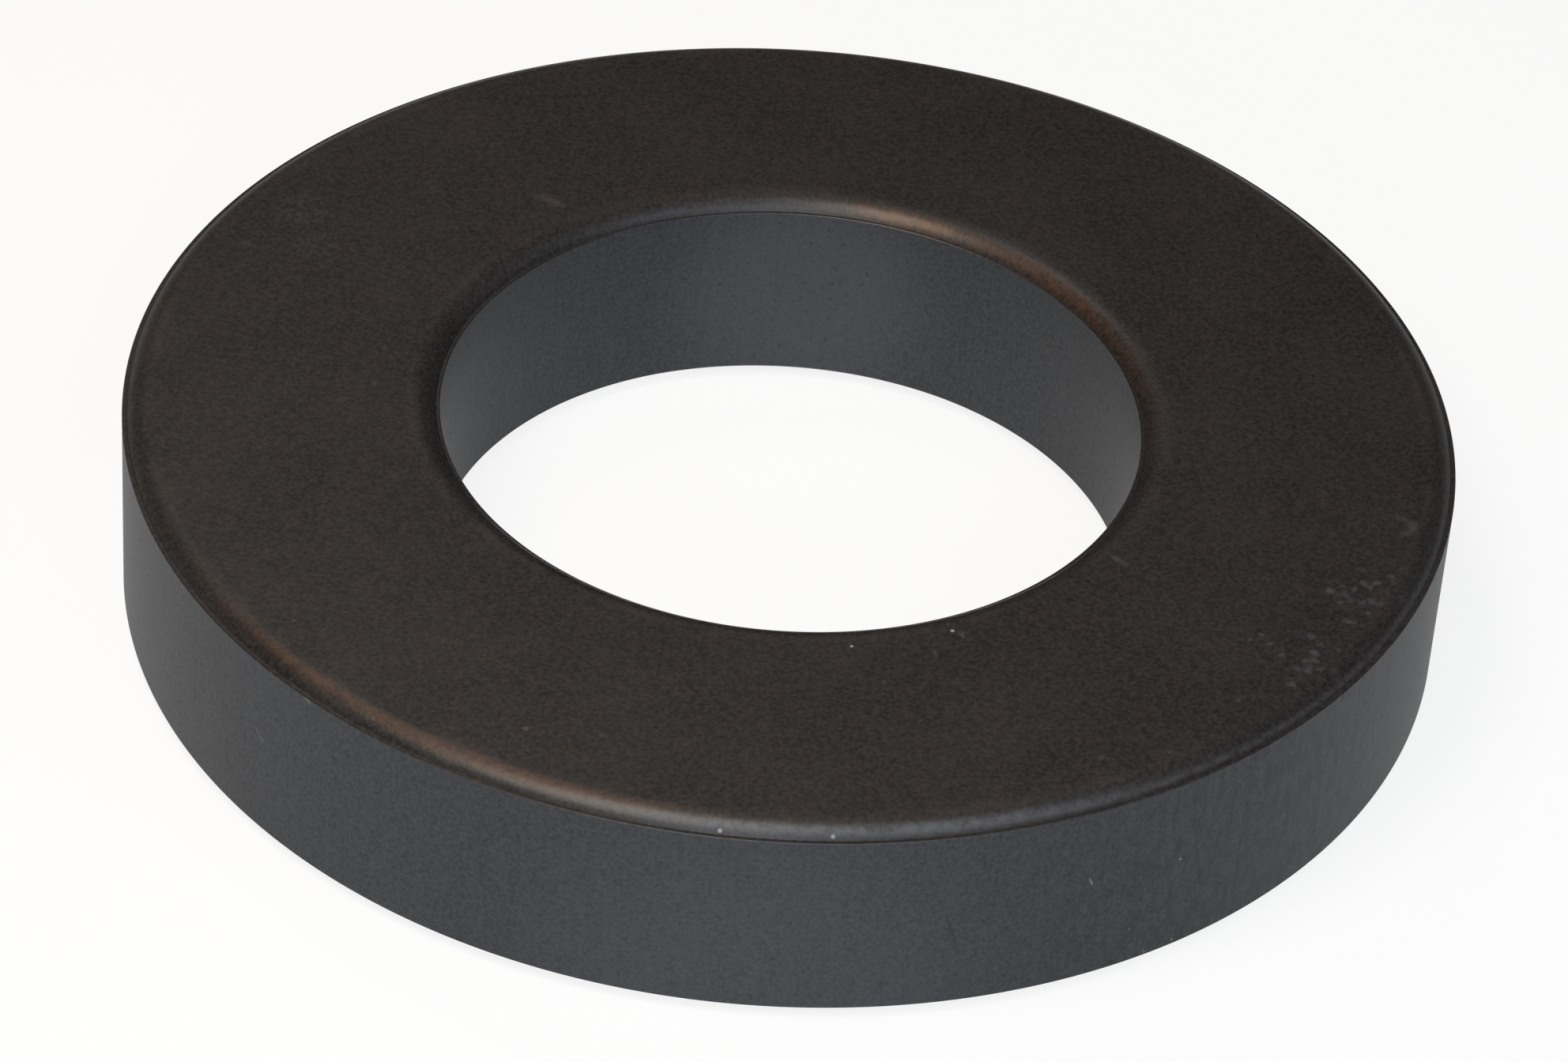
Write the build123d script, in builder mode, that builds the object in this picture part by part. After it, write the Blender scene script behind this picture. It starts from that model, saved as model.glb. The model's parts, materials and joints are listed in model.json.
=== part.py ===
"""Toroid core of soft ferrite: one ring, pressed from powder and sintered.

Millimetres. The ring lies on its lower face with its axis on Z and its base at Z = 0.
"""
from build123d import *
import math
import os

# Overall sizes of the sintered ring.
outer_diameter = 73.65
bore_diameter = 38.85
height = 12.45

# The two punches roll each flat face over in an arc towards the outer wall and towards the bore.
# An arc stops short of the wall on a narrow flat land, the rim of the punch itself, which the
# straight die wall then meets square. The arc towards the bore runs a little deeper.
outer_edge_radius = 1.55
outer_edge_angle = 55.0
outer_land = 0.25
bore_edge_radius = 1.65
bore_edge_angle = 58.0
bore_land = 0.2

# Tumbling breaks the sharp corners where the lands meet the walls.
corner_break = 0.05

outer_radius = outer_diameter / 2
bore_radius = bore_diameter / 2
middle = height / 2


def edge_reach(edge_radius, edge_angle):
    """Radial width of an arc that leaves the flat face at a tangent."""
    return edge_radius * math.sin(math.radians(edge_angle))


# The flat of each face lies between the starts of its two arcs.
flat_outer_radius = outer_radius - outer_land - edge_reach(outer_edge_radius, outer_edge_angle)
flat_inner_radius = bore_radius + bore_land + edge_reach(bore_edge_radius, bore_edge_angle)

# Section through the ring at +X, drawn about the height's middle so that the lower punch's
# edges mirror the upper's, and turned round the axis.
with BuildPart() as toroid_core:
    with BuildSketch(Plane((0, 0, middle), x_dir=(1, 0, 0), z_dir=(0, -1, 0))) as section:
        with BuildLine():
            face = Line((flat_inner_radius, middle), (flat_outer_radius, middle))
            outer_edge = JernArc(face @ 1, (1, 0), outer_edge_radius, -outer_edge_angle)
            outer_corner = Line(outer_edge @ 1, (outer_radius, (outer_edge @ 1).Y)) @ 1
            bore_edge = JernArc(face @ 0, (-1, 0), bore_edge_radius, bore_edge_angle)
            bore_corner = Line(bore_edge @ 1, (bore_radius, (bore_edge @ 1).Y)) @ 1
            mirror(about=Plane.XZ)
            Line(outer_corner, (outer_radius, -outer_corner.Y))
            Line(bore_corner, (bore_radius, -bore_corner.Y))
        make_face()
        corners = section.vertices().group_by(Axis.X)
        chamfer(corners[0] + corners[-1], corner_break)
    revolve(axis=Axis.Z)

toroid_core.part.label = "toroid_core"
os.makedirs("parts", exist_ok=True)
export_step(toroid_core.part, "parts/toroid_core.step")
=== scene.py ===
"""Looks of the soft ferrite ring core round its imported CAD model, on a pale studio floor."""
import json
import math

import bpy
from mathutils import Matrix, Vector


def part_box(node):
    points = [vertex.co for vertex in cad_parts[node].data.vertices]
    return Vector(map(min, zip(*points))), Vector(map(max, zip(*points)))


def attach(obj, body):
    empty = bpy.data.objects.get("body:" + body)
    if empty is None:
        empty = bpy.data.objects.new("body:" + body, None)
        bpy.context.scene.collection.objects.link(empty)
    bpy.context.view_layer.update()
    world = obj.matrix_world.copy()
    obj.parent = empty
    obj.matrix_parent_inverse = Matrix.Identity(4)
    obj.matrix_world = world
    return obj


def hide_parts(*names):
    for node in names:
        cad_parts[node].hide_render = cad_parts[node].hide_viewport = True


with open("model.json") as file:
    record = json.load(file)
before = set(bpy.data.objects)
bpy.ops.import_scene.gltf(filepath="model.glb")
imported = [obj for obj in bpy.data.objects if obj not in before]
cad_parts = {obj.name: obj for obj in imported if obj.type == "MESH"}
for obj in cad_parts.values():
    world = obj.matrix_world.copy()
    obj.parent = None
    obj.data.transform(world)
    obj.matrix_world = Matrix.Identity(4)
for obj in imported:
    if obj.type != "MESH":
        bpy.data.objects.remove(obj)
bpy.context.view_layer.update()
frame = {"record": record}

# The ring core: one piece of soft ferrite, pressed from powder between two ring punches in a
# round die, sintered hard and tumbled. The punches leave the flat faces with their rolled-over
# edges, and the die and the core rod leave the straight walls.
mm = 0.001
lowest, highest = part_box("toroid_core")
bore_mount = next(m for m in frame["record"]["mounts"] if m["name"] == "bore")
outer_radius = (highest.x - lowest.x) / 2
bore_radius = bore_mount["dims"]["r_mm"] * mm
half_height = (highest.z - lowest.z) / 2
outer_edge_radius, outer_edge_angle, outer_land = 1.55 * mm, math.radians(55), 0.25 * mm
bore_edge_radius, bore_edge_angle, bore_land = 1.65 * mm, math.radians(58), 0.2 * mm
corner_break = 0.05 * mm
facets_round = 384
arc_steps = 12
merge_distance = 0.001 * mm
sharp_from = math.radians(30)


def edge_form(wall_radius, land, edge_radius, angle, outwards):
    """Radii and levels of a rolled-over edge, from its wall up to the start of the flat face."""
    drop = edge_radius * (1 - math.cos(angle))
    arc_foot = wall_radius - outwards * land
    arc_start = arc_foot - outwards * edge_radius * math.sin(angle)
    points = [
        (wall_radius, half_height - drop - corner_break),
        (wall_radius - outwards * corner_break, half_height - drop),
    ]
    for step in range(arc_steps, -1, -1):
        turn = angle * step / arc_steps
        points.append((
            arc_start + outwards * edge_radius * math.sin(turn),
            half_height - edge_radius * (1 - math.cos(turn)),
        ))
    return points


outer_edge = edge_form(outer_radius, outer_land, outer_edge_radius, outer_edge_angle, 1)
bore_edge = edge_form(bore_radius, bore_land, bore_edge_radius, bore_edge_angle, -1)
face_outer_radius, face_inner_radius = outer_edge[-1][0], bore_edge[-1][0]

# The upper half is drawn from a circle at half height on the outer wall, extruded loop by loop
# over the face to the bore. The lower half mirrors it.
bpy.ops.object.select_all(action="DESELECT")
bpy.ops.mesh.primitive_circle_add(vertices=facets_round, radius=outer_radius, fill_type="NOTHING")
core = bpy.context.object
core.name = core.data.name = "ferrite_ring"
bpy.ops.object.mode_set(mode="EDIT")
bpy.ops.mesh.select_all(action="SELECT")
radius, level = outer_radius, 0.0
for next_radius, next_level in outer_edge + bore_edge[::-1] + [(bore_radius, 0.0)]:
    bpy.ops.mesh.extrude_region_move(TRANSFORM_OT_translate={"value": (0, 0, next_level - level)})
    bpy.ops.transform.resize(
        value=(next_radius / radius, next_radius / radius, 1), center_override=(0, 0, 0)
    )
    radius, level = next_radius, next_level
bpy.ops.object.mode_set(mode="OBJECT")
mirror = core.modifiers.new("lower half", "MIRROR")
mirror.use_axis = (False, False, True)
mirror.merge_threshold = merge_distance
bpy.ops.object.modifier_apply(modifier=mirror.name)
bpy.ops.object.mode_set(mode="EDIT")
bpy.ops.mesh.select_all(action="SELECT")
bpy.ops.transform.translate(value=(0, 0, lowest.z + half_height))
bpy.ops.mesh.normals_make_consistent(inside=False)
bpy.ops.object.mode_set(mode="OBJECT")
bpy.ops.object.shade_smooth_by_angle(angle=sharp_from)

# Pressed ferrite, sintered: a matt brown-black oxide ceramic. Its even grain is as coarse as the
# press granules, under faint cloudy patches in the sinter skin. Tumbling and handling have worn the
# rolled edges smoother, and left pale spots, scratches, scuffs and nicks.


def linear(hex_colour):
    """A hex sRGB colour as a linear RGBA value."""
    parts = [int(hex_colour[i:i + 2], 16) / 255 for i in (1, 3, 5)]
    return [p / 12.92 if p <= 0.04045 else ((p + 0.055) / 1.055) ** 2.4 for p in parts] + [1]


def add(tree, kind, inputs=(), **settings):
    """Adds a node with its settings, and sets or links its inputs, a value or a socket each."""
    node = tree.nodes.new(kind)
    for name, value in settings.items():
        setattr(node, name, value)
    for name, value in dict(inputs).items():
        if isinstance(value, bpy.types.NodeSocket):
            tree.links.new(value, node.inputs[name])
        else:
            node.inputs[name].default_value = value
    return node


def new_material(name):
    """A node material with a Principled shader, as (material, tree, shader)."""
    material = bpy.data.materials.new(name)
    material.use_nodes = True
    tree = material.node_tree
    return material, tree, tree.nodes["Principled BSDF"]


def patches(tree, place, size, detail, low, high):
    """Soft random patches of a real size: noise, spread out so that low becomes 0 and high 1."""
    noise = add(tree, "ShaderNodeTexNoise", {"Vector": place, "Scale": 1 / size, "Detail": detail})
    return add(
        tree, "ShaderNodeMapRange",
        {"Value": noise.outputs["Fac"], "From Min": low, "From Max": high},
    ).outputs["Result"]


def laid_over(tree, tone, colour, share, *masks):
    """A tone with a colour laid over it where all masks are 1, as strong as its share."""
    cover = share
    for mask in masks:
        cover = add(tree, "ShaderNodeMath", {0: mask, 1: cover}, operation="MULTIPLY").outputs[0]
    return add(
        tree, "ShaderNodeMix", {"Factor": cover, "A": tone, "B": linear(colour)},
        data_type="RGBA",
    ).outputs["Result"]


pressed, tree, shader = new_material("pressed_ferrite")
place = add(tree, "ShaderNodeTexCoord").outputs["Object"]
grain_size, tint_size, cloud_size = 0.22 * mm, 0.35 * mm, 7 * mm
grain = add(tree, "ShaderNodeTexNoise", {"Vector": place, "Scale": 1 / grain_size, "Detail": 3.0})
grain_level = add(
    tree, "ShaderNodeMapRange", {"Value": grain.outputs["Fac"], "From Min": 0.3, "From Max": 0.7},
)
tint = add(tree, "ShaderNodeTexNoise", {"Vector": place, "Scale": 1 / tint_size, "Detail": 1.0})
tint_level = add(
    tree, "ShaderNodeMapRange", {"Value": tint.outputs["Fac"], "From Min": 0.35, "From Max": 0.65},
)
light_grain = add(
    tree, "ShaderNodeMix",
    {"Factor": tint_level.outputs["Result"], "A": linear("#322b28"), "B": linear("#2b2a2a")},
    data_type="RGBA",
)
tone = add(
    tree, "ShaderNodeMix",
    {
        "Factor": grain_level.outputs["Result"], "A": linear("#0e0c0b"),
        "B": light_grain.outputs["Result"],
    },
    data_type="RGBA",
).outputs["Result"]
clouds = patches(tree, place, cloud_size, 2.0, 0.4, 0.7)
tone = laid_over(tree, tone, "#3d3735", 0.15, clouds)

# Rings run round the rolled edges. Both edges begin in a faint paler one, and further down they
# carry painted highlights in fine mottles: copper-brown glints and a paler grey sheen, where lamps
# would light the edges. A painted place is given by its azimuth in degrees, the reach in mm over
# which it fades out, and its strength.


def off(tree, distance, middle):
    """How far a distance is from a middle value, on either side of it."""
    away = add(tree, "ShaderNodeMath", {0: distance, 1: middle}, operation="SUBTRACT").outputs[0]
    return add(tree, "ShaderNodeMath", {0: away}, operation="ABSOLUTE").outputs[0]


def ring_band(tree, distance, ring_radius, half_width):
    """The soft mask of a narrow ring, where a distance is near the ring's radius."""
    return add(
        tree, "ShaderNodeMapRange",
        {"Value": off(tree, distance, ring_radius), "From Min": half_width, "From Max": 0.0},
        interpolation_type="SMOOTHSTEP",
    ).outputs["Result"]


def mark(tree, place, half_width, strength, start, end=None):
    """The soft mask of a round mark, or of one drawn out from a point to another.

    It is as strong as asked out to 0.3 of its half width, and has faded away at all of it.
    """
    if end is None:
        away = add(tree, "ShaderNodeVectorMath", {0: place, 1: start}, operation="DISTANCE")
    else:
        along = end - start
        drawn_out = (along.length / 2 + half_width) / half_width
        local = add(
            tree, "ShaderNodeMapping",
            {
                "Vector": place, "Location": (start + end) / 2,
                "Rotation": along.to_track_quat("X", "Z").to_euler(), "Scale": (drawn_out, 1, 1),
            },
            vector_type="TEXTURE",
        )
        away = add(tree, "ShaderNodeVectorMath", {0: local.outputs[0]}, operation="LENGTH")
    return add(
        tree, "ShaderNodeMapRange",
        {
            "Value": away.outputs["Value"], "From Min": half_width, "From Max": 0.3 * half_width,
            "To Max": strength,
        },
        interpolation_type="SMOOTHSTEP",
    ).outputs["Result"]


def strongest(tree, masks):
    """Several masks joined into one."""
    joined = masks[0]
    for mask in masks[1:]:
        joined = add(tree, "ShaderNodeMath", {0: joined, 1: mask}, operation="MAXIMUM").outputs[0]
    return joined


def on_face(azimuth, radius):
    """A point of the upper face or its outer edge, by its azimuth in degrees and radius in mm."""
    angle, radius = math.radians(azimuth), radius * mm
    past = max(radius - face_outer_radius, 0)
    drop = outer_edge_radius - math.sqrt(outer_edge_radius ** 2 - past ** 2)
    return Vector((radius * math.cos(angle), radius * math.sin(angle), highest.z - drop))


flat_middle = (face_outer_radius + face_inner_radius) / 2
flat_half = (face_outer_radius - face_inner_radius) / 2
edge_ring_half_width, mottle_size = 0.5 * mm, 0.5 * mm
copper_glint, grey_sheen, pale_sheen = "#7b5031", "#5c5f62", "#605e5e"
level = add(tree, "ShaderNodeVectorMath", {0: place, 1: (1, 1, 0)}, operation="MULTIPLY")
from_axis = add(tree, "ShaderNodeVectorMath", {0: level.outputs[0]}, operation="LENGTH")
from_axis = from_axis.outputs["Value"]
from_middle = off(tree, from_axis, flat_middle)
# A faint paler ring where each edge begins, laid in soft patches.
ring_patches = patches(tree, place, cloud_size, 3.0, 0.35, 0.65)
edge_starts = ring_band(tree, from_middle, flat_half, edge_ring_half_width)
tone = laid_over(tree, tone, "#4a423e", 0.15, edge_starts, ring_patches)
mottled = patches(tree, place, mottle_size, 2.0, 0.15, 0.6)
# Each row paints a highlight into the base colour along one edge: a copper-brown glint or a grey
# sheen, at the places where that edge would catch the lamps.
for ring_radius, half_width, colour, share, places in (
    (face_outer_radius + 0.5 * mm, 0.55, copper_glint, 0.5, ((241, 20, 0.4),)),
    (face_outer_radius + 0.85 * mm, 0.4, grey_sheen, 0.6, ((277, 17, 0.95),)),
    (face_outer_radius + 1.1 * mm, 0.22, pale_sheen, 0.6, ((322, 30, 0.4),)),
    (
        face_inner_radius - 1.05 * mm, 0.6, copper_glint, 0.5,
        ((73, 4.5, 0.85), (46, 18, 0.25), (42, 7, 0.42)),
    ),
    (face_inner_radius - 1.05 * mm, 0.6, grey_sheen, 0.6, ((132, 13, 0.2),)),
):
    painted_places = []
    for azimuth, reach, strength in places:
        at = on_face(azimuth, ring_radius / mm)
        painted_places.append(mark(tree, place, reach * mm, strength, at))
    band = ring_band(tree, from_axis, ring_radius, half_width * mm)
    tone = laid_over(tree, tone, colour, share, band, strongest(tree, painted_places), mottled)

# The edges are also smoothest where they are rubbed most: at the front, and at the bore's back.
edge_begins, edge_whole = flat_half + 0.2 * mm, flat_half + 0.9 * mm
front_reach, bore_back_reach = 60 * mm, 38 * mm
as_sintered, rubbed_smooth = 0.54, 0.4
on_edge = add(
    tree, "ShaderNodeMapRange",
    {"Value": from_middle, "From Min": edge_begins, "From Max": edge_whole},
    interpolation_type="SMOOTHSTEP",
).outputs["Result"]
rubbed = strongest(tree, [
    mark(tree, place, front_reach, 1.0, on_face(262, 36)),
    mark(tree, place, bore_back_reach, 1.0, on_face(80, 19.4)),
])
rubbed = add(tree, "ShaderNodeMath", {0: on_edge, 1: rubbed}, operation="MULTIPLY").outputs[0]
finish = add(
    tree, "ShaderNodeMapRange", {"Value": rubbed, "To Min": as_sintered, "To Max": rubbed_smooth},
)

# The pale spots: the largest one by one, and finer ones strewn or smeared in the patches round
# them. A little noise in their place gives them ragged outlines.
ragged_by, strewn_spacing = 0.5 * mm, 0.75 * mm
ragged = add(
    tree, "ShaderNodeVectorMath", {0: tint.outputs["Color"], 1: (0.5, 0.5, 0.5)},
    operation="SUBTRACT",
)
ragged = add(
    tree, "ShaderNodeVectorMath", {0: ragged.outputs[0], "Scale": ragged_by}, operation="SCALE",
)
ragged = add(tree, "ShaderNodeVectorMath", {0: place, 1: ragged.outputs[0]}, operation="ADD")
ragged = ragged.outputs[0]
spots = []
for azimuth, at_radius, half_width, strength in (
    (335.3, 32.4, 0.34, 0.9), (336.6, 32.8, 0.24, 0.6), (336.7, 33.5, 0.26, 0.8),
    (338.0, 33.7, 0.26, 0.7), (335.5, 33.4, 0.24, 0.6), (334.2, 33.3, 0.24, 0.7),
    (338.6, 34.4, 0.36, 0.8), (340.0, 34.9, 0.30, 0.6), (335.9, 34.7, 0.38, 0.6),
    (334.1, 34.9, 0.28, 0.9), (325.3, 31.3, 0.30, 0.8), (324.0, 31.0, 0.25, 0.7),
    (324.7, 32.0, 0.24, 0.8), (328.1, 33.3, 0.30, 0.7), (324.1, 33.0, 0.28, 0.8),
    (326.3, 34.2, 0.40, 0.9), (325.4, 34.6, 0.36, 0.7), (323.8, 34.8, 0.32, 0.8),
    (328.0, 35.0, 0.22, 0.6), (321.2, 34.8, 0.36, 0.8), (316.1, 33.8, 0.24, 0.5),
    (306.4, 34.9, 0.30, 0.5), (300.9, 33.6, 0.35, 0.4), (309.8, 29.5, 0.22, 0.5),
    (182.9, 23.0, 0.28, 0.6), (174.6, 22.9, 0.30, 0.4), (160.2, 33.6, 0.45, 0.3),
    (186.6, 24.9, 0.30, 0.3),
):
    at = on_face(azimuth, at_radius)
    spots.append(mark(tree, ragged, half_width * mm, strength, at))
cells = add(
    tree, "ShaderNodeTexVoronoi", {"Vector": ragged, "Scale": 1 / strewn_spacing},
    voronoi_dimensions="2D",
)
chosen = add(
    tree, "ShaderNodeMapRange",
    {"Value": cells.outputs["Color"], "From Min": 0.45, "From Max": 0.6},
)
near = add(
    tree, "ShaderNodeMapRange",
    {"Value": cells.outputs["Distance"], "From Min": 0.42, "From Max": 0.15},
)
strewn = add(
    tree, "ShaderNodeMath", {0: chosen.outputs["Result"], 1: near.outputs["Result"]},
    operation="MULTIPLY",
).outputs[0]
smeared = patches(tree, place, tint_size, 1.0, 0.45, 0.7)
for azimuth, at_radius, half_width, strength, speckle in (
    (337.0, 34.3, 2.6, 0.7, strewn), (325.5, 34.2, 2.4, 0.7, strewn),
    (152.5, 32.5, 2.2, 0.45, smeared), (157.0, 30.0, 1.8, 0.4, smeared),
):
    at = on_face(azimuth, at_radius)
    patch = mark(tree, place, half_width * mm, strength, at)
    speckled = add(tree, "ShaderNodeMath", {0: patch, 1: speckle}, operation="MULTIPLY")
    spots.append(speckled.outputs[0])
tone = laid_over(tree, tone, "#48474c", 0.75, strongest(tree, spots))

# Scratches and scuffs, from one place to another, and bright nicks down to the fresh grain.
scratches = []
for start, end, half_width, strength in (
    ((291.7, 22.3), (291.5, 23.6), 0.10, 0.4), ((296.7, 21.5), (296.5, 22.3), 0.09, 0.5),
    ((296.0, 20.6), (295.8, 21.4), 0.09, 0.5), ((130.3, 24.0), (129.5, 23.3), 0.45, 0.15),
    ((129.6, 23.4), (129.0, 22.4), 0.45, 0.22), ((349.1, 33.8), (348.5, 34.6), 0.35, 0.2),
    ((348.5, 34.7), (347.4, 35.1), 0.35, 0.3), ((347.4, 35.1), (346.4, 34.5), 0.35, 0.2),
    ((326.2, 21.2), (325.8, 22.4), 0.25, 0.3), ((332.0, 34.1), (332.2, 34.7), 0.22, 0.3),
):
    start, end = on_face(*start), on_face(*end)
    scratches.append(mark(tree, ragged, half_width * mm, strength, start, end))
tone = laid_over(tree, tone, "#5c5854", 1.0, strongest(tree, scratches))
nicks = []
for azimuth, at_radius, half_width, strength in (
    (295.7, 21.5, 0.16, 0.6), (280.8, 21.7, 0.13, 0.6), (222.0, 33.8, 0.14, 0.06),
    (247.6, 32.5, 0.26, 0.08), (254.3, 31.3, 0.20, 0.05), (238.9, 30.1, 0.15, 0.05),
    (283.7, 24.8, 0.13, 0.1), (235.9, 36.1, 0.18, 0.06), (266.8, 36.45, 0.16, 0.5),
    (275.8, 36.43, 0.16, 0.45),
):
    at = on_face(azimuth, at_radius)
    nicks.append(mark(tree, place, half_width * mm, strength, at))
tone = laid_over(tree, tone, "#b0b4b0", 1.0, strongest(tree, nicks))

# The grain stands out a little, over a slight ripple from the punch.
grain_depth, ripple_size, ripple_depth = 0.01 * mm, 1.3 * mm, 0.02 * mm
ripple = add(tree, "ShaderNodeTexNoise", {"Vector": place, "Scale": 1 / ripple_size, "Detail": 1.0})
bump = add(
    tree, "ShaderNodeBump",
    {"Height": grain.outputs["Fac"], "Distance": grain_depth, "Strength": 1.0},
)
bump = add(
    tree, "ShaderNodeBump",
    {
        "Height": ripple.outputs["Fac"], "Distance": ripple_depth, "Strength": 1.0,
        "Normal": bump.outputs[0],
    },
)
tree.links.new(tone, shader.inputs["Base Color"])
tree.links.new(bump.outputs["Normal"], shader.inputs["Normal"])
tree.links.new(finish.outputs["Result"], shader.inputs["Roughness"])
shader.inputs["Specular IOR Level"].default_value = 0.43
core.data.materials.append(pressed)

# Die wall of the same ferrite: ejection from the die smooths it to a blue-grey satin, with upright
# striae that are drawn coarse enough to show. A painted sheen makes it paler at the front and at
# the bore's back. Pits and mottles keep the darker skin, and on the right the mottles carry painted
# shade as well. A dark line and a few light marks cross it.


def on_wall(azimuth, above_base):
    """A point of the outer wall, by its azimuth in degrees and its height over the base in mm."""
    angle, above_base = math.radians(azimuth), above_base * mm
    return Vector((
        outer_radius * math.cos(angle), outer_radius * math.sin(angle), lowest.z + above_base,
    ))


wall, tree, shader = new_material("die_smoothed_ferrite")
place = add(tree, "ShaderNodeTexCoord").outputs["Object"]
stria_width, stria_stretch, stria_depth = 0.35 * mm, 0.06, 0.0015 * mm
pit_size, dull_size, dull_stretch, wall_grain_depth = 0.3 * mm, 0.5 * mm, 0.4, 0.005 * mm
bore_back, bore_sheen_reach = Vector((0, bore_radius, lowest.z + half_height)), 10.5 * mm
wall_front, wall_sheen_reach = on_wall(270, 1), 16 * mm
wall_right, right_shade_reach = on_wall(319, 4), 21 * mm
smoothed, rough_in_pits = 0.5, 0.65
grain = add(tree, "ShaderNodeTexNoise", {"Vector": place, "Scale": 1 / grain_size, "Detail": 3.0})
grain_level = add(
    tree, "ShaderNodeMapRange", {"Value": grain.outputs["Fac"], "From Min": 0.3, "From Max": 0.7},
)
tone = add(
    tree, "ShaderNodeMix",
    {"Factor": grain_level.outputs["Result"], "A": linear("#242629"), "B": linear("#3a3d41")},
    data_type="RGBA",
).outputs["Result"]
upright = add(tree, "ShaderNodeMapping", {"Vector": place, "Scale": (1, 1, stria_stretch)})
striae = patches(tree, upright.outputs[0], stria_width, 2.0, 0.4, 0.7)
tone = laid_over(tree, tone, "#3a3c3f", 0.3, striae)
# Painted sheen: the wall is made paler where it faces the camera, at the front and at the bore's
# back.
painted_sheen = strongest(tree, [
    mark(tree, place, bore_sheen_reach, 1.0, bore_back),
    mark(tree, place, wall_sheen_reach, 0.55, wall_front),
])
tone = laid_over(tree, tone, "#52565b", 0.38, painted_sheen)
pitted = patches(tree, place, pit_size, 2.0, 0.64, 0.74)
tone = laid_over(tree, tone, "#1e1e1f", 0.4, pitted)
# Darker mottles on the right of the wall: real mottling, laid only over a painted shade that
# darkens that side.
drawn_up = add(tree, "ShaderNodeMapping", {"Vector": place, "Scale": (1, 1, dull_stretch)})
dull = patches(tree, drawn_up.outputs[0], dull_size, 3.0, 0.42, 0.62)
painted_shade_at_right = mark(tree, place, right_shade_reach, 1.0, wall_right)
tone = laid_over(tree, tone, "#212120", 0.6, dull, painted_shade_at_right)
dark_line = mark(tree, place, 0.2 * mm, 0.4, on_wall(285.2, 7.2), on_wall(287, 3.4))
tone = laid_over(tree, tone, "#1e1e1f", 1.0, dark_line)
light_marks = []
for start, end, half_width, strength in (
    ((223.3, 7.2), (223.8, 7.0), 0.10, 0.25), ((223.8, 7.0), (224.3, 6.6), 0.10, 0.25),
    ((297.6, 7.4), (298.0, 6.8), 0.09, 0.5), ((229.4, 11.7), (230.1, 11.6), 0.14, 0.3),
):
    start, end = on_wall(*start), on_wall(*end)
    light_marks.append(mark(tree, place, half_width * mm, strength, start, end))
for azimuth, above_base, half_width, strength in (
    (306.4, 6.6, 0.10, 1.0), (306.6, 1.0, 0.10, 0.6), (303.8, 0.9, 0.10, 0.5),
    (302.0, 2.9, 0.09, 0.4),
):
    at = on_wall(azimuth, above_base)
    light_marks.append(mark(tree, place, half_width * mm, strength, at))
tone = laid_over(tree, tone, "#8c8e8e", 1.0, strongest(tree, light_marks))
bump = add(
    tree, "ShaderNodeBump", {"Height": striae, "Distance": stria_depth, "Strength": 1.0},
)
bump = add(
    tree, "ShaderNodeBump",
    {
        "Height": grain.outputs["Fac"], "Distance": wall_grain_depth, "Strength": 1.0,
        "Normal": bump.outputs[0],
    },
)
finish = add(
    tree, "ShaderNodeMapRange", {"Value": pitted, "To Min": smoothed, "To Max": rough_in_pits},
)
tree.links.new(tone, shader.inputs["Base Color"])
tree.links.new(bump.outputs["Normal"], shader.inputs["Normal"])
tree.links.new(finish.outputs["Result"], shader.inputs["Roughness"])
shader.inputs["Specular IOR Level"].default_value = 0.28
core.data.materials.append(wall)

# The two straight walls have the wall's finish, and all that slopes or lies flat has the other.
upright_within = 0.3
for face in core.data.polygons:
    face.material_index = 1 if abs(face.normal.z) < upright_within else 0

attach(core, "root")
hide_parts("toroid_core")

# The studio floor: a wide matt white board just under the ring. It glows nearly white to the
# camera and in reflections, and the lamps light the rest of it, which keeps the ring's shadow.
floor_width, floor_gap, glow_share = 8, 0.02 * mm, 0.85
bpy.ops.mesh.primitive_plane_add(size=floor_width, location=(0, 0, lowest.z - floor_gap))
floor = bpy.context.object
floor.name = "studio_floor"
board, tree, shader = new_material("matt_white_board")
rays = add(tree, "ShaderNodeLightPath")
seen = add(
    tree, "ShaderNodeMath",
    {0: rays.outputs["Is Camera Ray"], 1: rays.outputs["Is Glossy Ray"]}, operation="ADD",
)
seen = add(
    tree, "ShaderNodeMath",
    {0: seen.outputs[0], 1: rays.outputs["Is Transmission Ray"]}, operation="ADD", use_clamp=True,
)
share = add(tree, "ShaderNodeMath", {0: seen.outputs[0], 1: glow_share}, operation="MULTIPLY")
glow = add(tree, "ShaderNodeEmission", {"Color": linear("#ffffff"), "Strength": 1.0})
shader.inputs["Base Color"].default_value = linear("#f4f4f4")
shader.inputs["Roughness"].default_value = 0.9
shader.inputs["Specular IOR Level"].default_value = 0.0
mix = add(
    tree, "ShaderNodeMixShader",
    {"Fac": share.outputs[0], 1: shader.outputs[0], 2: glow.outputs[0]},
)
tree.links.new(mix.outputs[0], tree.nodes["Material Output"].inputs["Surface"])
floor.data.materials.append(board)

# Studio light: two soft boxes over the front left give most of it, with a small warm one beside
# them. Cooler ones stand at the front and the right, one at the rear, and the room is dim. The
# shares add up to about 1 on the upper face.
lamp_distance = 0.3
room_level = 0.05
ring_middle = Vector((0, 0, lowest.z + half_height))


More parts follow.
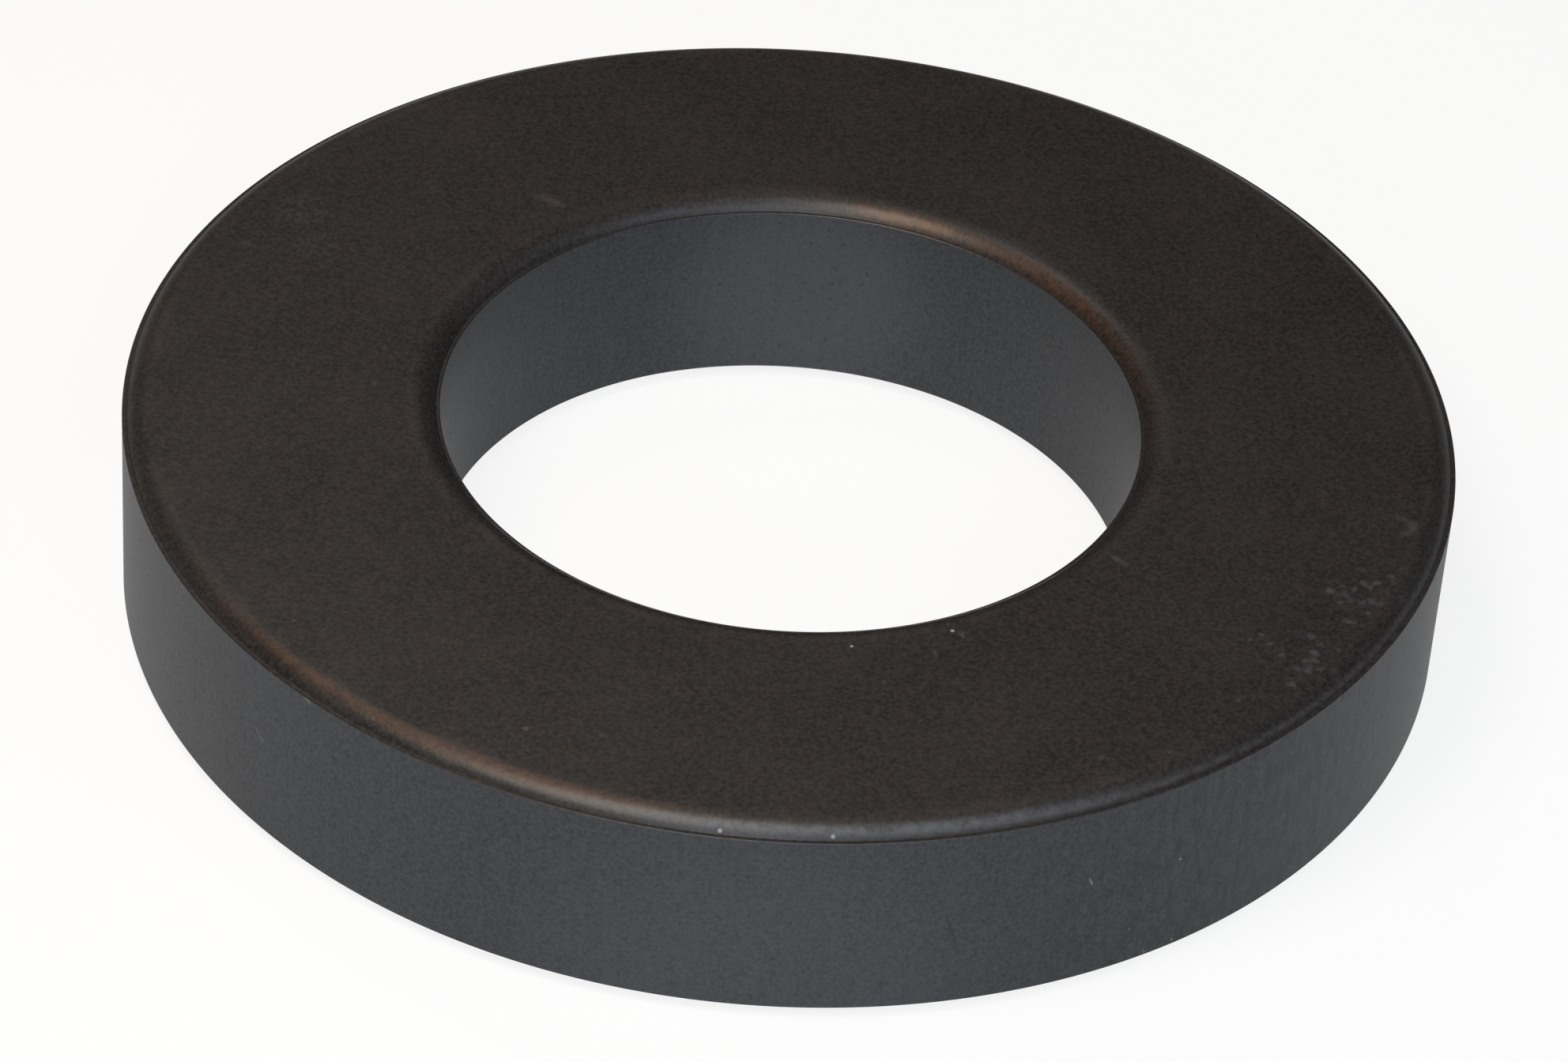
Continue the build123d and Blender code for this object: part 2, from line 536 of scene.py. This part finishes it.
def soft_box(name, azimuth, from_zenith, width, depth, share_of_light, colour):
    """A soft box aimed at the ring, at an azimuth and an angle from the zenith in degrees.

    Its width runs level, and share_of_light is what it gives a level face.
    """
    azimuth, from_zenith = math.radians(azimuth), math.radians(from_zenith)
    towards = Vector((
        math.sin(from_zenith) * math.cos(azimuth),
        math.sin(from_zenith) * math.sin(azimuth),
        math.cos(from_zenith),
    ))
    sideways = Vector((-math.sin(azimuth), math.cos(azimuth), 0))
    lamp = bpy.data.lights.new(name, "AREA")
    lamp.shape, lamp.size, lamp.size_y = "RECTANGLE", width, depth
    red, green, blue = linear(colour)[:3]
    lamp.color = (red, green, blue)
    brightness = 0.2126 * red + 0.7152 * green + 0.0722 * blue
    white_energy = share_of_light * math.pi ** 2 * lamp_distance ** 2 / math.cos(from_zenith)
    lamp.energy = white_energy / brightness
    holder = bpy.data.objects.new(name, lamp)
    turned = Matrix((sideways, towards.cross(sideways), towards)).transposed().to_4x4()
    holder.matrix_world = Matrix.Translation(ring_middle + towards * lamp_distance) @ turned
    bpy.context.scene.collection.objects.link(holder)


soft_box("main_soft_box", 228, 17, 0.07, 0.09, 0.25, "#fffaf4")
soft_box("left_soft_box", 229, 35, 0.12, 0.06, 0.205, "#fff3dc")
soft_box("warm_soft_box", 195, 22, 0.05, 0.05, 0.045, "#ffb860")
soft_box("front_soft_box", 262, 40, 0.06, 0.12, 0.12, "#e8f3ff")
soft_box("side_soft_box", 293, 44, 0.06, 0.10, 0.085, "#e2eeff")
soft_box("right_soft_box", 326, 43, 0.06, 0.10, 0.06, "#dae9ff")
soft_box("rear_soft_box", 120, 33, 0.06, 0.06, 0.085, "#fff4ea")
soft_box("low_soft_box", 268, 67, 0.05, 0.05, 0.075, "#ecf3ff")

room = bpy.data.worlds.new("dim_room")
bpy.context.scene.world = room
room.use_nodes = True
background = room.node_tree.nodes["Background"]
background.inputs["Color"].default_value = [room_level, room_level, room_level, 1]

# The camera: a long lens held high in front of the ring and turned a little, as the photograph
# was taken. The lens looks at a point just below the ring's middle.
camera_elevation, camera_roll = math.radians(37.386), math.radians(4.213)
camera_distance = 333.87 * mm
aim_left, aim_below = 0.081 * mm, 2.23 * mm
back = Vector((0, -math.cos(camera_elevation), math.sin(camera_elevation)))
level_right, level_up = Vector((1, 0, 0)), back.cross(Vector((1, 0, 0)))
right = math.cos(camera_roll) * level_right + math.sin(camera_roll) * level_up
up = math.cos(camera_roll) * level_up - math.sin(camera_roll) * level_right
lens = bpy.data.cameras.new("camera")
lens.lens, lens.sensor_width = 137.14, 36
lens.clip_start, lens.clip_end = 0.01, 20
camera = bpy.data.objects.new("camera", lens)
stand = ring_middle + back * camera_distance - right * aim_left - up * aim_below
camera.matrix_world = Matrix.Translation(stand) @ Matrix((right, up, back)).transposed().to_4x4()
bpy.context.scene.collection.objects.link(camera)
bpy.context.scene.camera = camera
bpy.context.scene.view_settings.view_transform = "Standard"
